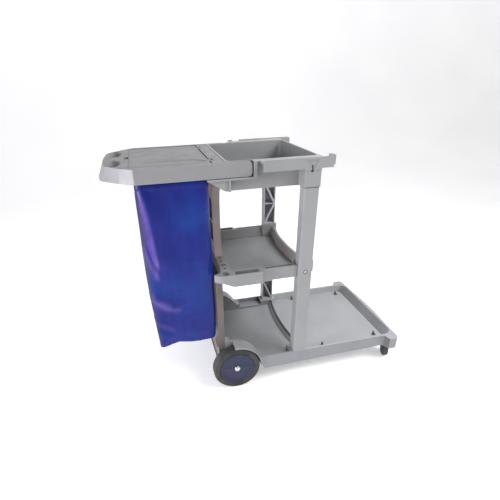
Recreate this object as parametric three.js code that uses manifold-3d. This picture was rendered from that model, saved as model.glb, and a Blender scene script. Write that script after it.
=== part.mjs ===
// Housekeeping cart: two large rear wheels, two swivel casters, a low platform base, a middle
// shelf, a top tray with a basin, two front posts, a rear upright and a bag frame with a hinged
// lid and a hanging bag. Millimetres, +Z up from the ground. Front is +X (platform end), rear is
// -X (handle), the near side is -Y and the far side +Y.
import * as THREE from 'three';
import { mergeVertices } from 'three/addons/utils/BufferGeometryUtils.js';
import Module from 'manifold-3d';

const wasm = await Module();
wasm.setup();

// ---- driving dimensions: Z0/Z1 and X0/X1 are low and high limits, HALF is a half width ----
const X_SHIFT = -18; // moves the middle of the cart's length onto the origin
const GAP = 0.3; // clearance between neighbouring pieces
const SIDES = [[-1, 'near'], [1, 'far']];

const WHEEL_R = 102, WHEEL_X = -145.5, WHEEL_Z = 102;
const TYRE_IN = 206, TYRE_OUT = 252, HUB_R = 75, AXLE_R = 6;
const ARCH_R = 105.5, ARCH_X = -144.5, ARCH_Z = 100.5; // inside of the wheel arch
const CASTER_R = 37.5, CASTER_X = 588, CASTER_Y = 237, CASTER_TRAIL = 25;
const CASTER_TURN = { near: 71, far: 197 }; // degrees from the cart's length

const BASE_HALF = 246, SKIRT_Z = 85, RIM_Z = 140, FLOOR_Z = 111, FLOOR_T = 4;
const UNDER_Z = FLOOR_Z - FLOOR_T;

const POST_X0 = 108, POST_X1 = 164, POST_IN = 205, POST_OUT = 246, POST_WALL = 4.5;
const POST_MID = (POST_X0 + POST_X1) / 2, SEAM_Z = 864;
const POST_Z0 = RIM_Z + GAP, POST_Z1 = SEAM_Z - GAP;
const TONGUE_IN = 208, TONGUE_OUT = 241, TONGUE_INSET = 5, TONGUE_WALL = 4;
const POCKET_PLAY = 0.5; // room around a tongue in its pocket

const SHELF_Z0 = 508, SHELF_Z1 = 558, SHELF_HALF = 232, SHELF_BULGE = 248;
const TRAY_Z0 = 862, TRAY_Z1 = 961, BASIN_HALF = 187, BASIN_DEPTH = 94;
const SPINE_X0 = -187, SPINE_X1 = -157, SPINE_Z0 = SHELF_Z1 - 6, SPINE_Z1 = TRAY_Z0 - GAP;

const ARM_Z0 = 911, ARM_Z1 = 960, ARM_HALF = 213, ARM_X1 = -72;
const MOUTH_X0 = -477.2, MOUTH_HALF = 195.2, LID_PLAY = 0.5;
const LID_Z0 = 952.5, LID_Z1 = 958.3;
const HINGE_X = -199, PIN_Z = 955.5, KNUCKLE_Y = 130, PIN_BORE_R = 2.3;
const BAG_HALF = 203, BAG_TOP = 908.5, BAG_WAIST_Z = 440, BAG_Z0 = 252, BAG_WALL = 2.5;

const SHELF_SCREW_Z = 531;
const PANEL_SCREW_X = -203.5, PANEL_SCREW_Y = 120;
const UPRIGHT_SCREW_X = -172, UPRIGHT_SCREW_Y = 30;
const CROSSBAR_SCREW_X = -184, CROSSBAR_SCREW_Y = 100;
const ARM_SCREW_X = -135, ARM_SCREW_Y = 204;

// ---- materials ----
const plastic = (color, roughness) => ({ color, roughness, metalness: 0 });
const steel = (roughness) => ({ color: 0xb9bcc2, roughness, metalness: 0.9 });
const GREY = 0x96969b, GREY_LIGHT = 0xa9a9ae, GREY_SHADE = 0x86868a;
const NAVY = 0x3c4468, BLACK = 0x2c2c2e;
const MATERIALS = {
  body: plastic(GREY, 0.5),
  shelf: plastic(GREY, 0.55),
  base: plastic(GREY_LIGHT, 0.55),
  panel: plastic(GREY_SHADE, 0.6),
  hook: plastic(GREY_SHADE, 0.5),
  bag: plastic(0x23379a, 0.3),
  tyre: plastic(BLACK, 0.8),
  casterTyre: plastic(BLACK, 0.75),
  fork: plastic(BLACK, 0.5),
  hub: plastic(NAVY, 0.55),
  casterHub: plastic(NAVY, 0.6),
  cap: steel(0.3),
  steel: steel(0.35),
  dullSteel: steel(0.4),
};

// ---- geometry and solids ----
function solid(geometry) {
  for (const name of Object.keys(geometry.attributes))
    if (name !== 'position') geometry.deleteAttribute(name);
  const merged = mergeVertices(geometry, 1e-4);
  const p = merged.attributes.position.array;
  const index = merged.index.array;
  const kept = []; // triangles left after dropping the degenerate ones
  let volume = 0;
  for (let i = 0; i < index.length; i += 3) {
    const [a, b, c] = index.slice(i, i + 3);
    if (a === b || b === c || a === c) continue;
    kept.push([a, b, c]);
    const [u, v, w] = [a * 3, b * 3, c * 3];
    volume += p[u] * (p[v + 1] * p[w + 2] - p[v + 2] * p[w + 1])
      - p[u + 1] * (p[v] * p[w + 2] - p[v + 2] * p[w])
      + p[u + 2] * (p[v] * p[w + 1] - p[v + 1] * p[w]);
  }
  // faces must wind outwards
  const outward = volume < 0 ? kept.map(([a, b, c]) => [a, c, b]) : kept;
  const triVerts = new Uint32Array(outward.flat());
  return new wasm.Manifold(new wasm.Mesh({ numProp: 3, vertProperties: p, triVerts }));
}

function toGeometry(body) {
  const mesh = body.getMesh();
  const g = new THREE.BufferGeometry();
  const positions = new Float32Array(mesh.vertProperties);
  g.setAttribute('position', new THREE.BufferAttribute(positions, 3));
  g.setIndex(new THREE.BufferAttribute(new Uint32Array(mesh.triVerts), 1));
  return g;
}

function extruded(points, depth) {
  const shape = new THREE.Shape(points.map(([a, b]) => new THREE.Vector2(a, b)));
  return new THREE.ExtrudeGeometry(shape, { depth, bevelEnabled: false, steps: 1 });
}

// Outline in the XY plane, raised from z0 to z1; top, when given, is the outline at z1.
function prismZ(points, z0, z1, top = null) {
  const g = extruded(points, z1 - z0);
  if (top) {
    const p = g.attributes.position;
    const same = (a, b) => Math.abs(a - b) < 1e-3;
    for (let i = 0; i < p.count; i++) {
      if (p.getZ(i) < (z1 - z0) / 2) continue;
      const k = points.findIndex(([x, y]) => same(x, p.getX(i)) && same(y, p.getY(i)));
      p.setXY(i, top[k][0], top[k][1]);
    }
  }
  return solid(g.translate(0, 0, z0));
}
// Outline in the XZ plane, from y0 to y1.
function prismY(points, y0, y1) {
  return solid(extruded(points, y1 - y0).rotateX(Math.PI / 2).translate(0, y1, 0));
}
// Outline in the YZ plane, from x0 to x1.
function prismX(points, x0, x1) {
  const axes = new THREE.Matrix4().makeBasis(
    new THREE.Vector3(0, 1, 0), new THREE.Vector3(0, 0, 1), new THREE.Vector3(1, 0, 0));
  return solid(extruded(points, x1 - x0).applyMatrix4(axes).translate(x0, 0, 0));
}
const box = (x0, x1, y0, y1, z0, z1) =>
  prismZ([[x0, y0], [x1, y0], [x1, y1], [x0, y1]], z0, z1);
const ring = (r, n, cx, cy) => Array.from({ length: n }, (_, i) => {
  const a = ((i + 0.5) / n) * 2 * Math.PI;
  return [cx + r * Math.cos(a), cy + r * Math.sin(a)];
});
const cylZ = (r, x, y, z0, z1, n) => prismZ(ring(r, n, x, y), z0, z1);
const cylY = (r, x, z, y0, y1, n) => prismY(ring(r, n, x, z), y0, y1);

// Turned shape; profile is [radius, height along Y] pairs, place moves the geometry.
function lathe(profile, n, place) {
  const g = new THREE.LatheGeometry(profile.map(([r, h]) => new THREE.Vector2(r, h)), n);
  place(g);
  return solid(g);
}
// The same, with the height along Z.
const latheZ = (profile, n, x, y, z) =>
  lathe(profile, n, (g) => g.rotateX(Math.PI / 2).translate(x, y, z));

// Angles in degrees, n segments.
const arc = (cx, cy, r, a0, a1, n) => Array.from({ length: n + 1 }, (_, i) => {
  const a = ((a0 + ((a1 - a0) * i) / n) * Math.PI) / 180;
  return [cx + r * Math.cos(a), cy + r * Math.sin(a)];
});
// The two rounded corners at the +X end of a rectangle, n segments a corner.
const frontCorners = (x1, half, r, n) => [
  ...arc(x1 - r, r - half, r, -90, 0, n), ...arc(x1 - r, half - r, r, 0, 90, n)];
const roundRect = (x0, x1, y0, y1, r, n) => [
  ...arc(x1 - r, y0 + r, r, -90, 0, n), ...arc(x1 - r, y1 - r, r, 0, 90, n),
  ...arc(x0 + r, y1 - r, r, 90, 180, n), ...arc(x0 + r, y0 + r, r, 180, 270, n)];

// XY points mirrored in Y, in reverse order.
const mirrored = (points) => points.map(([x, y]) => [x, -y]).reverse();
// Whole XY outline from the near half, whose first point lies on the centre line.
const wholeXY = (half) => [...half, ...mirrored(half.slice(1))];
// Whole YZ outline from the half on one side.
const wholeYZ = (half) => [...half, ...half.map(([y, z]) => [-y, z]).reverse()];

const all = (first, ...rest) => rest.reduce((sum, s) => sum.add(s), first);
const cut = (body, ...tools) => tools.reduce((left, s) => left.subtract(s), body);
const flipY = (body) => solid(toGeometry(body).scale(1, -1, 1));
const both = (body) => body.add(flipY(body));

// ---- assembly ----
const cart = new THREE.Group();
cart.name = 'housekeeping_cart';
function put(name, body, material) {
  const flat = toGeometry(body).translate(X_SHIFT, 0, 0).toNonIndexed();
  flat.computeVertexNormals();
  const mesh = new THREE.Mesh(flat, new THREE.MeshStandardMaterial(material));
  mesh.name = name;
  cart.add(mesh);
}

// ---- base platform: shallow tray with skirt, wheel arches, front ears and post pockets ----
const FLOOR_HALF = 192, FLOOR_X0 = -188;
// Near half outline, [x, y] from the front centre round the ear to the rear
const BASE_OUTLINE = [
  [623, 0], [622, -60], [619, -120], [614.5, -180], [612, -262], [602, -279], [566, -279],
  [563, -270], [559.5, -257], [556, -250], [549, -246],
  [-22, -BASE_HALF], [-22, -200], [-196, -200]];
// Top line of the wheel arch, [x, z] from rear to front
const ARCH_CROWN = [
  [-145, 215.8], [-134, 214.8], [-120, 211.3], [-105, 205.5], [-90, 197], [-77, 187],
  [-66, 176], [-56, 163.6], [-47, 150.8], [-41, 140.5]];
// Upright plate inside the wheel, [x, z]
const ARCH_CHEEK = [
  [-196, 86], [-200.5, 172], [-186.6, 172], [-186.6, 240], [-177, 240], [-170, 226],
  [-163, 219], [-155, 216], ...ARCH_CROWN, [-22, 139], [-22, 86]];
// Shell over the forward half of the wheel, [x, z]
const ARCH_SHELL = [
  [-153.5, 215.6], ...ARCH_CROWN, [-33, 139.5], [-33.5, ARCH_Z],
  ...arc(ARCH_X, ARCH_Z, ARCH_R - 0.4, 1, 95, 11)];
// Stepped hollow behind the bowed wall: z0, z1, rear x and wall x at z0, the same at z1
const REAR_HOLLOW = [
  [FLOOR_Z, FLOOR_Z + 6, FLOOR_X0, 98, FLOOR_X0, 114],
  [FLOOR_Z + 5.9, FLOOR_Z + 16, FLOOR_X0, 114, FLOOR_X0, 125],
  [FLOOR_Z + 15.9, RIM_Z + 1, FLOOR_X0, 126.5, -190, 136]];
// Open underside bays: x0, x1, half width
const UNDER_BAYS = [[-185, 100, 188], [112, 170, 192], [176, 380, 242], [386, 548, 242]];

// Line across the cart that bows towards the rear, x on the centre line, [x, y] from -Y to +Y
const bow = (x) => Array.from({ length: 11 }, (_, i) => {
  const y = -FLOOR_HALF + (2 * FLOOR_HALF * i) / 10;
  return [x + 27 * (y / 223) ** 2, y];
});
const rearFloor = (x0, bowX) => [[x0, -FLOOR_HALF], ...bow(bowX), [x0, FLOOR_HALF]];

// Pocket for a post tongue, near side
const tonguePocket = (z0, z1) => box(
  POST_X0 + TONGUE_INSET - POCKET_PLAY, POST_X1 - TONGUE_INSET + POCKET_PLAY,
  -TONGUE_OUT - POCKET_PLAY, -TONGUE_IN + POCKET_PLAY, z0, z1);

function platformHollow() {
  const low = [
    ...bow(143).reverse(), [178, -200], [182, -225],
    ...frontCorners(573, 227, 30, 5), [182, 225], [178, 200]];
  const top = [
    ...bow(139.5).reverse(), [176, -202], [180, -236],
    ...frontCorners(606, 236, 40, 5), [180, 236], [176, 202]];
  return prismZ(low, FLOOR_Z, RIM_Z + 0.5, top);
}

// Small upright fin on the platform floor, steep at its rear and sloping to the front
function fin(x, y) {
  const outline = [[-7, -1], [9, -1], [9, 2], [2, 9], [-3, 22], [-7, 22]];
  return prismY(outline.map(([dx, dz]) => [x + dx, FLOOR_Z + dz]), y - 2.5, y + 2.5);
}

function buildBase() {
  let base = prismZ(wholeXY(BASE_OUTLINE), SKIRT_Z, RIM_Z);
  base = cut(base,
    ...REAR_HOLLOW.map(([z0, z1, lowX0, lowBow, topX0, topBow]) =>
      prismZ(rearFloor(lowX0, lowBow), z0, z1, rearFloor(topX0, topBow))),
    box(-200, -180, -FLOOR_HALF, FLOOR_HALF, FLOOR_Z, RIM_Z + 1),
    both(box(-24, 95, -239, -191, FLOOR_Z + 8, RIM_Z + 1)),
    platformHollow(),
    // underside
    ...UNDER_BAYS.map(([x0, x1, half]) => box(x0, x1, -half, half, SKIRT_Z - 1, UNDER_Z)),
    both(box(-24, 100, -242, -196, SKIRT_Z - 1, UNDER_Z)),
    prismZ([[552, -190], [612, -190], [618.5, -60], [618.5, 60], [612, 190], [552, 190]],
      SKIRT_Z - 1, UNDER_Z),
    // ears: round hollow over each caster, shallow recess and stem bore
    both(cylZ(21, CASTER_X, -CASTER_Y, SKIRT_Z - 1, 100, 24)),
    both(box(570, 607.5, -274, -200, SKIRT_Z - 1, 88)),
    both(cylZ(6, CASTER_X, -CASTER_Y, 95, 134, 14)));

  // wheel arches, with a strip joining each shell to the skirt
  const strip = [[-34, 139.5], [-34, ARCH_Z], [-20, ARCH_Z], [-20, 139.5]];
  base = base.add(both(all(
    prismY(ARCH_CHEEK, -200, -192),
    prismY(ARCH_SHELL, -251, -199.5),
    prismY(strip, -BASE_HALF, -199.5))));
  base = cut(base, both(cylY(ARCH_R, ARCH_X, ARCH_Z, -260, -200, 44)));

  // axle bosses and the bore through them
  const boss = cylY(16, WHEEL_X, WHEEL_Z, -204.2, -186, 20);
  base = base.add(both(cut(boss, box(-180, -120, -198, -180, UNDER_Z + 1, 130))));
  base = cut(base, cylY(AXLE_R + GAP, WHEEL_X, WHEEL_Z, -260, 260, 16));

  base = base.add(both(box(POST_X0 - 5, POST_X1 + 5, -BASE_HALF, -200, SKIRT_Z + 4, RIM_Z)));
  base = cut(base, both(tonguePocket(112, RIM_Z + 1)));

  // the skirt's lower edge drops towards the rear wheels
  const skirtDrop = [
    [-33, 139.8], [-33.5, 100], [-24, 73], [455, SKIRT_Z], [455, SKIRT_Z + 3],
    [-10, SKIRT_Z + 3], [-10, 139.8]];
  base = all(base,
    both(prismY(skirtDrop, -BASE_HALF, -242)),
    fin(269, -208), fin(283, 208), both(fin(538, -193)),
    // ledge under the lower rear panel
    box(-218, -185, -186, 186, UNDER_Z, FLOOR_Z));
  return cut(base, both(cylZ(2.6, PANEL_SCREW_X, -PANEL_SCREW_Y, 60, FLOOR_Z + 1, 12)));
}
put('base_platform', buildBase(), MATERIALS.base);

// ---- rear uprights ----
function buildLowerPanel() {
  const half = [
    [-191.4, FLOOR_Z + GAP], [-191.4, 240.4], [-200, 240.4], [-200, SHELF_Z0 - GAP]];
  // side foot that flares rearward over the base, [x, z]
  const foot = [
    [-201, 172.3], [-209, 196], [-221, 199], [-229, 240], [-222, 252], [-212, 268],
    [-187, 268], [-187, 172.3]];
  const panel = all(
    prismX(wholeYZ(half), -212, -187),
    both(prismY(foot, -200, -191)),
    // ledge under the middle shelf
    box(-190, -160, -150, 150, SHELF_Z0 - 11, SHELF_Z0 - GAP));
  return cut(panel,
    // three recesses in the front face
    both(box(-208, -186, -180, -66, 262, 492)),
    box(-208, -186, -58, 58, 262, 492),
    both(cylZ(1.7, PANEL_SCREW_X, -PANEL_SCREW_Y, 100, 140, 10)));
}
put('rear_panel_lower', buildLowerPanel(), MATERIALS.panel);

function buildUpperUpright() {
  // waisted outline, [y, z] of the +Y half
  const half = [
    [66, SPINE_Z0 + GAP], [61, SPINE_Z0 + 14], [54, SPINE_Z0 + 34], [48.5, SPINE_Z0 + 62],
    [46.5, SPINE_Z0 + 96], [46, 700], [48, 780], [58, 826], [80, 848], [110, SPINE_Z1]];
  return cut(prismX(wholeYZ(half), SPINE_X0, SPINE_X1),
    // two recesses open to the rear
    box(-190, -161, -36, 36, 610, 690),
    box(-190, -161, -36, 36, 700, 790),
    both(cylZ(1.7, UPRIGHT_SCREW_X, -UPRIGHT_SCREW_Y, SPINE_Z0 - 5, SPINE_Z0 + 26, 10)));
}
put('rear_upright_upper', buildUpperUpright(), MATERIALS.panel);

// ---- front posts: channels open inward, cross-ribbed, with a tongue at each end ----
const WEB_Z = [POST_Z0, 250, 372, 494, 574, 672, 770, POST_Z1];
// Diagonal rib in each bay between webs, as seen going +X; the shelf's lug fills the open bay
const BAY_RIBS = ['falls', 'rises', 'falls', 'open', 'rises', 'falls', 'rises'];
const END_WEB = 5, HALF_WEB = 2, RIB_RUN = 5, RIB_RISE = 10;

function postBay(i) {
  const z0 = WEB_Z[i] + (i === 0 ? END_WEB : HALF_WEB);
  const z1 = WEB_Z[i + 1] - (i === BAY_RIBS.length - 1 ? END_WEB : HALF_WEB);
  const x0 = POST_X0 + POST_WALL, x1 = POST_X1 - POST_WALL;
  const yOut = -POST_OUT + POST_WALL, yIn = -POST_IN + 1;
  if (BAY_RIBS[i] === 'open') return box(x0, x1, yOut, yIn, z0, z1);
  // a triangular opening each side of the rib
  const [low, high, run] = BAY_RIBS[i] === 'falls' ? [x0, x1, RIB_RUN] : [x1, x0, -RIB_RUN];
  return all(
    prismY([[low, z0], [high - run, z0], [low, z1 - RIB_RISE]], yOut, yIn),
    prismY([[high, z1], [low + run, z1], [high, z0 + RIB_RISE]], yOut, yIn));
}

function nearPost() {
  // rounded outer edge at x; stretch scales and directs it along X
  const edge = (x, stretch) => prismZ(
    [[0, -1], [7, -1], [7, 0], [3, 1.2], [1, 3.2], [0, 6]]
      .map(([dx, dy]) => [x + stretch * dx, -POST_OUT + dy]),
    POST_Z0 - 1, POST_Z1 + 1);
  const outerChamfer = [
    [-POST_OUT - 1, POST_Z1 + 1], [-POST_OUT - 1, POST_Z1 - 2.4],
    [-POST_OUT + 1.8, POST_Z1 + 1]];
  const rearChamfer = [
    [POST_X0 - 1, POST_Z1 + 1], [POST_X0 + 1.4, POST_Z1 + 1], [POST_X0 - 1, POST_Z1 - 2]];
  const post = cut(box(POST_X0, POST_X1, -POST_OUT, -POST_IN, POST_Z0, POST_Z1),
    edge(POST_X0, 1.5),
    edge(POST_X1, -0.6),
    prismX(outerChamfer, POST_X0 - 1, POST_X1 + 1),
    prismY(rearChamfer, -POST_OUT - 1, -POST_IN + 1),
    ...BAY_RIBS.map((_, i) => postBay(i)));
  const tongue = (wall, z0, z1) => box(
    POST_X0 + TONGUE_INSET + wall, POST_X1 - TONGUE_INSET - wall,
    -TONGUE_OUT + wall, -TONGUE_IN - wall, z0, z1);
  return cut(
    all(post, tongue(0, POST_Z0 - 27, POST_Z0 + 4), tongue(0, POST_Z1 - 4, POST_Z1 + 30)),
    tongue(TONGUE_WALL, POST_Z0 - 30, POST_Z0 - 1),
    tongue(TONGUE_WALL, POST_Z1 + 1, POST_Z1 + 40),
    // shelf screw: counterbore in the outer face, shank hole through the wall
    cylY(8.6, POST_MID, SHELF_SCREW_Z, -POST_OUT - 1, -POST_OUT + 2.7, 24),
    cylY(2.6, POST_MID, SHELF_SCREW_Z, -POST_OUT - 1, -POST_IN, 12));
}
put('post_near', nearPost(), MATERIALS.body);
put('post_far', flipY(nearPost()), MATERIALS.body);

// ---- middle shelf ----
// Near half outline, [x, y] from the front centre, round the post, to the rear
const SHELF_OUTLINE = [
  [141, 0], [141.5, -40], [144, -80], [149, -120], [156, -160], [162, -196],
  [POST_X1 + 4, -203], [POST_X1 + 4, -232], [POST_X1 + GAP, -232],
  [POST_X1 + GAP, -POST_IN + GAP], [POST_X0 - GAP, -POST_IN + GAP], [POST_X0 - GAP, -232],
  [-38, -SHELF_HALF], [-38, -SHELF_BULGE], [-186, -SHELF_BULGE], [-206, -243], [-223, -231],
  [-221, -222], [-200, -217], [-194, -204], [-190, -188], [-188.5, -150], [-188.5, -90]];
// Near half of the hollow at the rim, [x, y] from the front centre to the rear
const SHELF_HOLLOW = [
  [132, 0], [132.5, -40], [135, -80], [140, -120], [146, -160], [150, -190], [138, -199],
  [104, -199], [98, -208], [-145, -208], [-153, -200]];
// Cut that raises the underside of the rear corners, [x, z]
const SHELF_UNDERCUT = [
  [-230, SHELF_Z0 - 1], [-146, SHELF_Z0 - 1], [-158, SHELF_Z0 + 3], [-180, SHELF_Z0 + 14],
  [-196, SHELF_Z0 + 20], [-230, SHELF_Z0 + 22]];
// Round holes in the rear margin: radius, x, y, z0, segments
const SHELF_HOLES = [
  [16, -176, -226, SHELF_Z0 - 2, 24],
  [6, -172, -181, SHELF_Z0 + 20, 14],
  [5.5, -174, -114, SHELF_Z0 + 20, 14],
  [5.5, -174, -84, SHELF_Z0 + 20, 14]];

function buildShelf() {
  const rim = wholeXY(SHELF_HOLLOW);
  const floor = rim.map(([x, y]) => {
    const frontDraft = x > 90 && Math.abs(y) < 197 ? 4 : 0;
    const rearDraft = x < -140 ? 5 : 0;
    return [x - frontDraft + rearDraft, y * 0.975];
  });
  const shelf = cut(prismZ(wholeXY(SHELF_OUTLINE), SHELF_Z0, SHELF_Z1),
    prismZ(floor, SHELF_Z0 + 4, SHELF_Z1 + 0.5, rim),
    // side pockets, and the slots above and below the side margins
    both(prismZ(roundRect(-144, -44, -242, -216, 8, 3), SHELF_Z0 + 5, SHELF_Z1 + 1)),
    both(box(-22, 92, -224, -213, SHELF_Z0 + 16, SHELF_Z1 + 1)),
    both(box(-24, 94, -228, -213, SHELF_Z0 - 1, SHELF_Z0 + 11)),
    // rear margin
    both(prismY(SHELF_UNDERCUT, -260, -200.4)),
    ...SHELF_HOLES.map(([r, x, y, z0, n]) => both(cylZ(r, x, y, z0, SHELF_Z1 + 2, n))),
    both(prismZ(roundRect(-184, -160, -155, -141, 6.5, 3), SHELF_Z0 + 20, SHELF_Z1 + 2)),
    // recess for the upper upright's foot and its screws
    box(SPINE_X0 - GAP, SPINE_X1 + GAP, -66.4, 66.4, SPINE_Z0, SHELF_Z1 + 1),
    both(cylZ(2.5, UPRIGHT_SCREW_X, -UPRIGHT_SCREW_Y, SHELF_Z0 - 1, SHELF_Z1 + 1, 12)),
    both(cylZ(5.2, UPRIGHT_SCREW_X, -UPRIGHT_SCREW_Y, SHELF_Z0 - 1, SHELF_Z0 + 30, 16)));
  // lug that enters the post's channel, and a low collar round the post
  const lugInset = POST_WALL + 0.5;
  const postMount = all(
    box(POST_X0 + lugInset, POST_X1 - lugInset, -234, -POST_IN + 1, 510, 556),
    box(POST_X0 - 9, POST_X1 + 6, -POST_IN + 0.4, -196, 526, 573),
    box(POST_X1 + GAP, POST_X1 + 6, -237, -196, 526, 573));
  return cut(shelf.add(both(postMount)),
    both(cylY(1.7, POST_MID, SHELF_SCREW_Z, -240, -212, 10)));
}
put('middle_shelf', buildShelf(), MATERIALS.shelf);

// ---- top tray ----
// Side flange with its outer rail, near side; x0 and x1 are its ends, top the rail's height
const sideRail = (x0, x1, top) => all(
  box(x0, 182, -246, -185, 953, TRAY_Z1),
  prismX([[-250, 929], [-245, 929], [-245, top], [-250, top]], x0, x1 - 5),
  prismX([[-250, 937], [-236, 937], [-236, TRAY_Z1], [-250, TRAY_Z1]], 178, x1));

// Socket over a post, near side
const postSocket = () => all(
  box(POST_X0 - 3, POST_X1 + 1.5, -247, -184, SEAM_Z, 956),
  box(POST_X0 - 3, POST_X1 + 1.5, -250, -240, 925, 956));

// Cradle that carries an arm of the bag frame, near side
const armCradle = () => all(
  box(-227, -55, -215, -185, 902.5, 908.6),
  box(-67, -55, -215, -185, 903, TRAY_Z1),
  prismY([[-227, 903], [-190, 880], [-167, 865], [-150, 863], [-150, 903]], -206, -186),
  box(-153, -147, -213, -186, 863, 906),
  cylZ(6, ARM_SCREW_X, -ARM_SCREW_Y, 905, 910.7, 14));

function buildTray() {
  const body = [[-159.6, -193], ...frontCorners(182, 193, 12, 3), [-159.6, 193]];
  // raised lip at the front end of the near rail, [x, z]
  const railLip = [
    [188, TRAY_Z1 - 1], [213, TRAY_Z1 - 1], [213, 968.5], [208, 972], [196, 975], [188, 975]];
  let tray = all(
    prismZ(body, TRAY_Z0, TRAY_Z1),
    // rear shoulder
    box(-201, -150, -186, 186, TRAY_Z0 + 44, 944.6),
    sideRail(-44, 213, 967),
    box(-67, -44, -213, -185, 956, TRAY_Z1),
    prismY(railLip, -250, -244),
    flipY(sideRail(-50, 233, 963.5)),
    box(-56, -44, 185, 213, 956, TRAY_Z1 - 4));
  // notch in the far rail, and a slot in each flange
  tray = cut(tray,
    box(-32, -2, 240, 252, 957.5, 970),
    both(box(-30, 96, -241, -229, 956, TRAY_Z1 + 8)));
  tray = tray.add(both(postSocket()));
  tray = cut(tray, both(tonguePocket(SEAM_Z - 1, 896)));
  tray = tray.add(both(armCradle()));

  const basinTop = roundRect(-153, 175, -BASIN_HALF, BASIN_HALF, 16, 4);
  const basinLow = roundRect(-145, 167, -BASIN_HALF + 4, BASIN_HALF - 4, 24, 4);
  const faceRecess = [
    [108, 958], [154, 958], [146, 946], [140, 934], [131, 926], [122, 934], [116, 946]];
  return cut(tray,
    prismZ(basinLow, TRAY_Z1 - BASIN_DEPTH, TRAY_Z1 + 0.5, basinTop),
    // hollows in the rear shoulder and the cradles
    box(-196, -163, -182, 182, TRAY_Z0 + 40, 938),
    both(box(-226, -158, -202, -190, 870, 899)),
    both(cylZ(2, CROSSBAR_SCREW_X, -CROSSBAR_SCREW_Y, 936, 946, 12)),
    // tapered recess and keyhole in each socket's outer face
    both(prismY(faceRecess, -251, -247.5)),
    both(all(
      cylY(5.5, 131, 922, -252, -240, 14),
      box(128.3, 133.7, -252, -240, 922, 941))),
    // small bores in the rear shoulder
    both(cylZ(1.7, -172, -60, 900, 912, 10)));
}
put('top_tray', buildTray(), MATERIALS.body);

// ---- bag frame: handle, side arms and crossbar in one moulding ----
// +Y half outlines at the bottom and top, [x, y] from the arm's front end to the rear centre
const FRAME_LOW = [
  [ARM_X1, ARM_HALF], [-462, ARM_HALF], [-466, ARM_HALF - 2], [-509, 179], [-514, 175],
  [-566, 125], [-577, 106], [-583, 70], [-586, 34], [-587, 0]];
const FRAME_TOP = [
  [ARM_X1, ARM_HALF], [-462, ARM_HALF], [-465.5, ARM_HALF - 2], [-505, 180], [-509, 176],
  [-550, 133], [-559, 110], [-563, 70], [-565, 34], [-566, 0]];
const HANDLE_HOLLOW = [
  [-478, -178], [-478, 178], [-500, 160], [-548, 124], [-566, 90], [-573, 0],
  [-566, -90], [-548, -124], [-500, -160]];
// Rounding tool for an arm's front end, [x, z] from the corner, z pointing out of the arm
const ARM_END_CORNER = [
  [-12, 1], [1, 1], [1, -12], [0, -12], [-1.6, -6], [-6, -1.6], [-12, 0]];

// Ellipsoidal scoop in the top of the handle, centred at y
const handScoop = (y) => lathe([[0, -1], ...arc(0, 0, 1, -72, 72, 7), [0, 1]], 18, (g) => {
  g.rotateX(Math.PI / 2);
  g.scale(27.5, 62, 25);
  g.translate(-529, y, ARM_Z1 + 3);
});
const armEndCut = (z, up) => prismY(
  ARM_END_CORNER.map(([dx, dz]) => [ARM_X1 + dx, z + up * dz]), -220, 220);
const hingePin = (r, y, halfLength) =>
  cylY(r, HINGE_X, PIN_Z, y - halfLength, y + halfLength, 12);

function buildFrame() {
  const whole = (half) => [...half, ...mirrored(half.slice(0, -1))];
  const mouth = roundRect(MOUTH_X0, -161, -MOUTH_HALF, MOUTH_HALF, 10, 3);
  const frame = cut(prismZ(whole(FRAME_LOW), ARM_Z0, ARM_Z1, whole(FRAME_TOP)),
    prismZ(mouth, 952.2, ARM_Z1 + 1),
    box(-470, -203, -189, 189, ARM_Z0 - 1, 953),
    box(-204, -60, -MOUTH_HALF, MOUTH_HALF, ARM_Z0 - 1, 945),
    box(-161, -60, -MOUTH_HALF, MOUTH_HALF, ARM_Z0 - 1, ARM_Z1 + 1));
  const crossbar = box(-203, -161, -196, 196, 945, ARM_Z1);
  const knuckleNotch = box(
    -206, -192.6, -KNUCKLE_Y - 15.4, -KNUCKLE_Y + 15.4, 940, ARM_Z1 + 1);
  return cut(frame.add(crossbar),
    prismZ(HANDLE_HOLLOW, ARM_Z0 - 1, ARM_Z0 + 20),
    handScoop(88),
    handScoop(-88),
    // finger notch
    prismZ(roundRect(-492, -470, -20, 20, 6, 3), 953, ARM_Z1 + 1),
    armEndCut(ARM_Z1, 1),
    armEndCut(ARM_Z0, -1),
    both(knuckleNotch),
    both(hingePin(PIN_BORE_R, -KNUCKLE_Y, 26)),
    // crossbar screws: shank bore and counterbore
    both(cylZ(2.6, CROSSBAR_SCREW_X, -CROSSBAR_SCREW_Y, 940, ARM_Z1 + 1, 12)),
    both(cylZ(5.6, CROSSBAR_SCREW_X, -CROSSBAR_SCREW_Y, 955.8, ARM_Z1 + 1, 16)),
    both(cylZ(2.2, ARM_SCREW_X, -ARM_SCREW_Y, ARM_Z0 - 1, ARM_Z0 + 24, 10)));
}
put('bag_frame', buildFrame(), MATERIALS.body);

// ---- hinged lid over the bag mouth ----
function buildLid() {
  const half = MOUTH_HALF - LID_PLAY;
  // raised area on top, drawn in by d
  const plateau = (d) => [
    [-431 + d, -112 + d], [-252, -116 + d], [-218 - d * 0.6, -148 + d], [-212 - d, -140],
    [-212 - d, 168 - d], [-220 - d, 176 - d], [-423 + d, 176 - d], [-431 + d, 168 - d]];
  const plate = all(
    prismZ(roundRect(MOUTH_X0 + LID_PLAY, -207, -half, half, 9, 3), LID_Z0, LID_Z1),
    prismZ(plateau(0), 958, 960.8, plateau(9)));
  const [y0, y1] = [-KNUCKLE_Y - 15, -KNUCKLE_Y + 15];
  const hinged = all(
    cut(plate, box(-462, -221, -182, 182, 951, 955)),
    both(box(-208, -199, y0, y1, LID_Z0 + 0.1, LID_Z1)),
    both(cylY(4.2, HINGE_X, PIN_Z, y0, y1, 16)));
  return cut(hinged, both(hingePin(PIN_BORE_R, -KNUCKLE_Y, 16)));
}
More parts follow.
